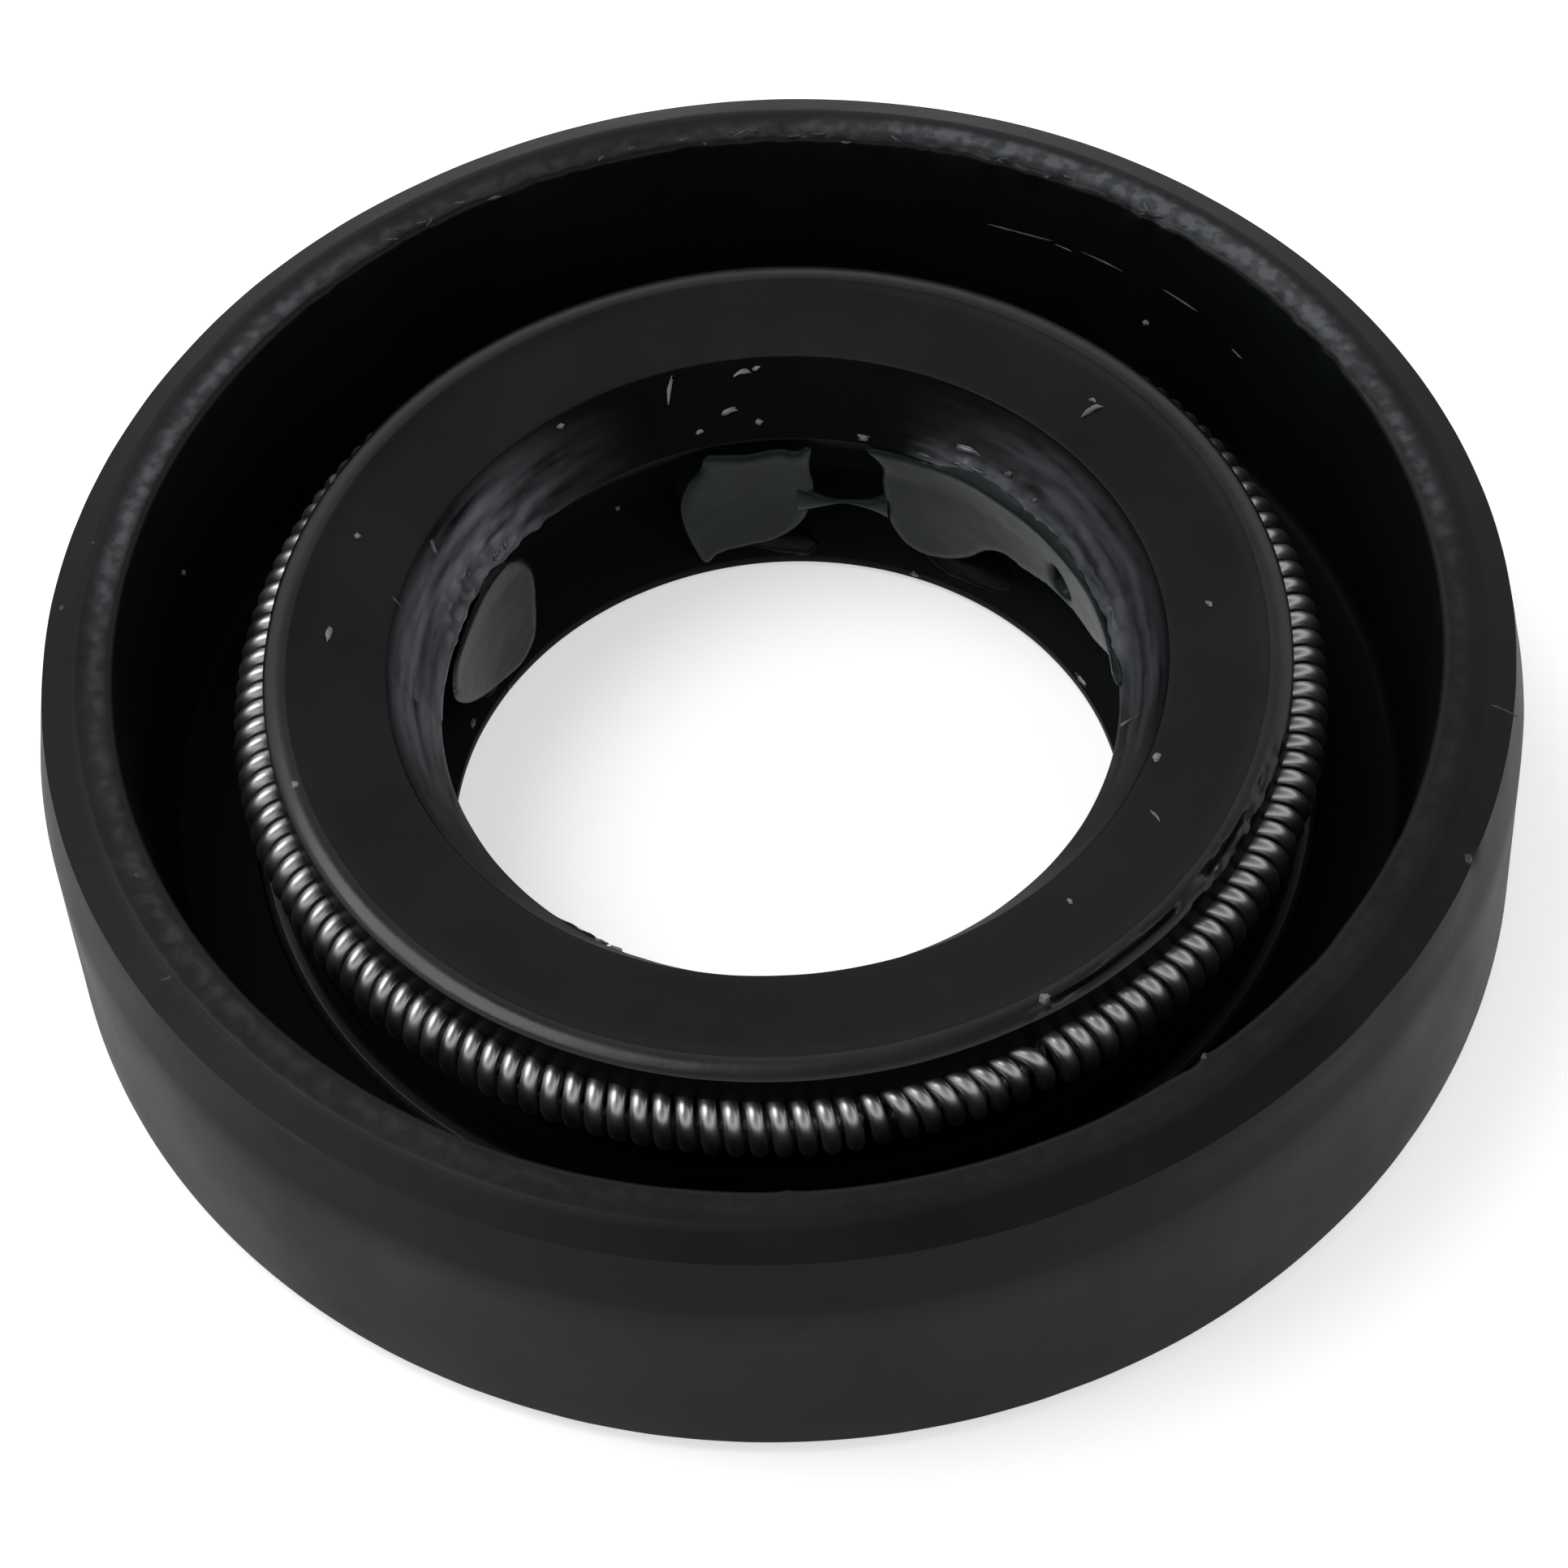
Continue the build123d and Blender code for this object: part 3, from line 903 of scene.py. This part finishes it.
def rubber_material(name, dark, light, roughness, specular):
    """Moulded rubber, a little cloudy and finely grained."""
    material, tree, shader = new_material(name)
    cloud = object_noise(tree, 260, 6)
    colour = ramp(tree, cloud, [(0.3, dark), (0.7, light)])
    tree.links.new(colour, shader.inputs["Base Color"])
    tree.links.new(spread(tree, cloud, roughness, roughness + 0.12), shader.inputs["Roughness"])
    shader.inputs["Specular IOR Level"].default_value = specular
    bump(tree, shader, object_noise(tree, 5200, 4), 0.3, 0.012)
    return material, tree, shader, colour


def plain_rubber(name, dark, light, roughness, specular):
    """Moulded rubber with neither wear nor grease on it."""
    return rubber_material(name, dark, light, roughness, specular)[0]


def rim_material():
    """The rubber of the rim and the lip face, greyer where it is scuffed and where a highlight and sheen are
    painted on: along the inner edge, on the land at the rear right and at the front left.
    """
    material, tree, shader, colour = rubber_material(
        "black_rubber", (0.0034, 0.0041, 0.0046), (0.0058, 0.0063, 0.0067), 0.3, 0.16
    )
    speckle = spread(tree, object_noise(tree, 2600, 5), 0.35, 1, 0.42, 0.62)
    scuffed_and_highlighted = times(tree, attribute(tree, "scuffs_and_painted_highlight"), speckle)
    # The grey is real scuffing and painted highlight and sheen together.
    tree.links.new(blend(tree, scuffed_and_highlighted, colour, (0.085, 0.09, 0.098)), shader.inputs["Base Color"])
    return material


def cone_material():
    """The cone of the lip: dull black rubber, a darker copy of the rim's that paints shade, with a glossy
    smear of grease on it whose pale grey is partly a painted sheen.
    """
    material, tree, shader, colour = rubber_material(
        "lip_cone_rubber", (0.002, 0.0026, 0.003), (0.0036, 0.004, 0.0044), 0.45, 0.02
    )
    share = attribute(tree, "grease_smear_and_painted_sheen")
    # The pale grey (0.118, 0.124, 0.136) is grease and painted sheen together.
    tree.links.new(blend(tree, share, colour, (0.118, 0.124, 0.136)), shader.inputs["Base Color"])
    tree.links.new(times(tree, share, 0.6), shader.inputs["Coat Weight"])
    shader.inputs["Coat Roughness"].default_value = 0.22
    return material


def steel_material(name, brightness, roughness):
    """Plain steel, here and there a little duller."""
    material, tree, shader = new_material(name)
    shader.inputs["Metallic"].default_value = 1
    cloud = object_noise(tree, 900, 5)
    colour = ramp(tree, cloud, [(0.3, (brightness * 0.8,) * 3), (0.7, (brightness,) * 3)])
    tree.links.new(colour, shader.inputs["Base Color"])
    tree.links.new(spread(tree, cloud, roughness - 0.05, roughness + 0.06), shader.inputs["Roughness"])
    return material


def grease_material(name, dark, light, roughness, specular):
    """Smooth grease with a faint ripple."""
    material, tree, shader = new_material(name)
    cloud = object_noise(tree, 700, 4)
    tree.links.new(ramp(tree, cloud, [(0.3, dark), (0.7, light)]), shader.inputs["Base Color"])
    shader.inputs["Roughness"].default_value = roughness
    shader.inputs["Specular IOR Level"].default_value = specular
    bump(tree, shader, object_noise(tree, 2400, 3), 0.2, 0.01)
    return material


def lint_material(name, dark, light):
    """Matt fluff or dust, speckled between two greys."""
    material, tree, shader = new_material(name)
    cloud = object_noise(tree, 3200, 4)
    tree.links.new(ramp(tree, cloud, [(0.3, dark), (0.7, light)]), shader.inputs["Base Color"])
    tree.links.new(spread(tree, cloud, 0.45, 0.8), shader.inputs["Roughness"])
    return material


# ---------------------------------------------------------------- the pieces

# In the order of RIM to BEVEL.
covering_materials = [
    rim_material(),
    # Painted reflection: the wall's rubber is lighter and warmer than the rim's, for the brown table it
    # reflects.
    plain_rubber("wall_rubber_painted_reflection", (0.0068, 0.0064, 0.0058), (0.0088, 0.0082, 0.0074), 0.4, 0.07),
    cone_material(),
    # Painted shade: a darker copy of the rubber for the cavity, the groove, the web, the pocket and the
    # back.
    plain_rubber("shaded_inner_rubber", (0.0018, 0.0027, 0.0031), (0.003, 0.0042, 0.0047), 0.5, 0.05),
    # Painted highlight: the mould ring is the cavity's rubber made lighter, so it shows as a light band.
    plain_rubber("floor_ring_painted_highlight_rubber", (0.014, 0.0155, 0.017), (0.022, 0.024, 0.026), 0.3, 0.5),
    plain_rubber("head_edge_rubber", (0.0034, 0.0041, 0.0046), (0.0058, 0.0063, 0.0067), 0.22, 0.42),
    # Painted reflection: the bevel's rubber is lighter and warmer than the rim's, like the wall's.
    plain_rubber("bevel_rubber_painted_reflection", (0.006, 0.006, 0.0058), (0.0085, 0.0082, 0.0076), 0.32, 0.11),
]
body = add_piece(covering(), "rubber", *covering_materials)
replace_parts(body, "rubber_body")

for node, material in (
    ("garter_spring", steel_material("spring_steel", 0.52, 0.34)),
    ("steel_case", steel_material("case_steel", 0.4, 0.35)),
):
    frame["nodes"][node].data.materials.clear()
    frame["nodes"][node].data.materials.append(material)

grease = grease_material("grey_green_grease", (0.009, 0.0138, 0.0132), (0.013, 0.019, 0.0182), 0.3, 0.1)
shaded = grease_material("shaded_grease", (0.006, 0.008, 0.0085), (0.0085, 0.0105, 0.011), 0.32, 0.07)
# Painted shade: the runs' grease is a much darker copy of the dabs' grease.
shaded_run_grease = grease_material("shaded_run_grease", (0.002, 0.0024, 0.0026), (0.0036, 0.004, 0.0042), 0.3, 0.1)
# Painted glint: the drops' grease is lighter than the dabs' grease.
wet_grease_painted_glint = grease_material("wet_grease_painted_glint", (0.02, 0.023, 0.025), (0.05, 0.054, 0.057), 0.18, 0.7)

# Each row is the CAD node, the piece that replaces it, its outline and holes, how far it narrows,
# its seed and its material.
dabs = [
    ("left_grease", "grease_left", left_outline, [], 0.2, 2, shaded),
    ("rear_grease", "grease_rear", rear_outline, [], 0.2, 1, grease),
    ("right_grease", "grease_right", right_outline, [right_hole], 0.06, 3, grease),
]
for node, name, outline, holes, narrowing, seed, material in dabs:
    dab = grease_dab(name, outline, holes, narrowing, seed)
    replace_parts(add_piece(dab, "grease", material), node)
add_piece(grease_strand(), "grease", grease)
add_piece(grains("grease_runs", skirt_rows, 0.2, 5), "grease", shaded_run_grease)
add_piece(grains("grease_drops", drop_rows, 0.45, 4), "grease", wet_grease_painted_glint)

lint = lint_material("pale_lint", (0.07, 0.07, 0.07), (0.26, 0.26, 0.255))
dust = lint_material("grey_dust", (0.016, 0.017, 0.019), (0.06, 0.062, 0.065))
streak_dust = lint_material("streak_dust", (0.03, 0.032, 0.034), (0.12, 0.125, 0.13))
add_piece(grains("lint_specks", lint_rows, 0.55, 1), "rubber", lint)
add_piece(grains("scuffs", scuff_rows, 0.5, 2), "rubber", dust)
add_piece(grains("wall_streaks", streak_rows, 0.5, 6), "rubber", streak_dust)
add_piece(grains("rim_flash_crumbs", rim_crumbs(), 0.5, 3), "rubber", dust)


# ---------------------------------------------------------------- floor, light and camera

def floor_material():
    """Pale and matt. Emission lifts what the camera, reflections and clear materials see of it to white, and
    leaves the seal's shadow on it."""
    material, tree, shader = new_material("pale_floor")
    shader.inputs["Base Color"].default_value = (0.9, 0.9, 0.9, 1)
    shader.inputs["Roughness"].default_value = 0.9
    shader.inputs["Specular IOR Level"].default_value = 0.1
    rays = tree.nodes.new("ShaderNodeLightPath").outputs
    seen = math_node(tree, "MAXIMUM", rays["Is Camera Ray"], rays["Is Glossy Ray"])
    seen = math_node(tree, "MAXIMUM", seen, rays["Is Transmission Ray"])
    lift = math_node(tree, "MULTIPLY", seen, 0.5)
    shader.inputs["Emission Color"].default_value = (1, 1, 1, 1)
    tree.links.new(lift, shader.inputs["Emission Strength"])
    return material


def floor():
    """A floor of 4 m a side, a hair below the seal's back."""
    half = 2000
    corners = [(-half, -half, 0), (half, -half, 0), (half, half, 0), (-half, half, 0)]
    piece = mesh_object("floor", corners, [(0, 1, 2, 3)])
    piece.location.z = -0.01 * MM
    piece.data.materials.append(floor_material())


# The sky's colour by the sine of its elevation: 0 at the horizon and below it, 1 overhead.
sky_colours = [
    (0.0, (0.35, 0.35, 0.355)),
    (0.3, (0.8, 0.8, 0.8)),
    (0.55, (1.0, 1.0, 1.0)),
    (0.67, (0.82, 0.825, 0.83)),
    (0.8, (0.46, 0.465, 0.47)),
    (0.92, (0.22, 0.225, 0.23)),
    (1.0, (0.18, 0.185, 0.19)),
]


def world():
    """A plain sky, palest a third of the way up and dark overhead, so flat tops read darker than walls."""
    studio = bpy.data.worlds.new("studio")
    studio.use_nodes = True
    tree = studio.node_tree
    place = tree.nodes.new("ShaderNodeTexCoord")
    parts = tree.nodes.new("ShaderNodeSeparateXYZ")
    tree.links.new(place.outputs["Generated"], parts.inputs["Vector"])
    sky = ramp(tree, parts.outputs["Z"], sky_colours)
    tree.links.new(sky, tree.nodes["Background"].inputs["Color"])
    tree.nodes["Background"].inputs["Strength"].default_value = 1
    bpy.context.scene.world = studio


def key_light():
    """A broad soft lamp, high up at the left and a little behind."""
    data = bpy.data.lights.new("key", "SUN")
    data.energy = 0.4 * pi
    data.angle = radians(40)
    towards_lamp = Vector((-0.47, 0.17, 0.87))
    linked("key", data).rotation_euler = towards_lamp.to_track_quat("Z", "Y").to_euler()


def camera():
    """The photograph's view: a pinhole camera's place, elevation, roll and focal length, fitted to it."""
    eye = Vector((-0.049, -76.308, 104.571))
    elevation, roll = 53.417, -4.1
    focal_pixels, image_pixels = 6500, 1932
    data = bpy.data.cameras.new("camera")
    data.sensor_width = 36
    data.lens = data.sensor_width * focal_pixels / image_pixels
    data.clip_start = 0.01
    view = linked("camera", data)
    turn = Matrix.Rotation(radians(90 - elevation), 4, "X") @ Matrix.Rotation(radians(roll), 4, "Z")
    view.matrix_world = Matrix.Translation(eye * MM) @ turn
    bpy.context.scene.camera = view


floor()
world()
key_light()
camera()
bpy.context.scene.view_settings.view_transform = "Standard"
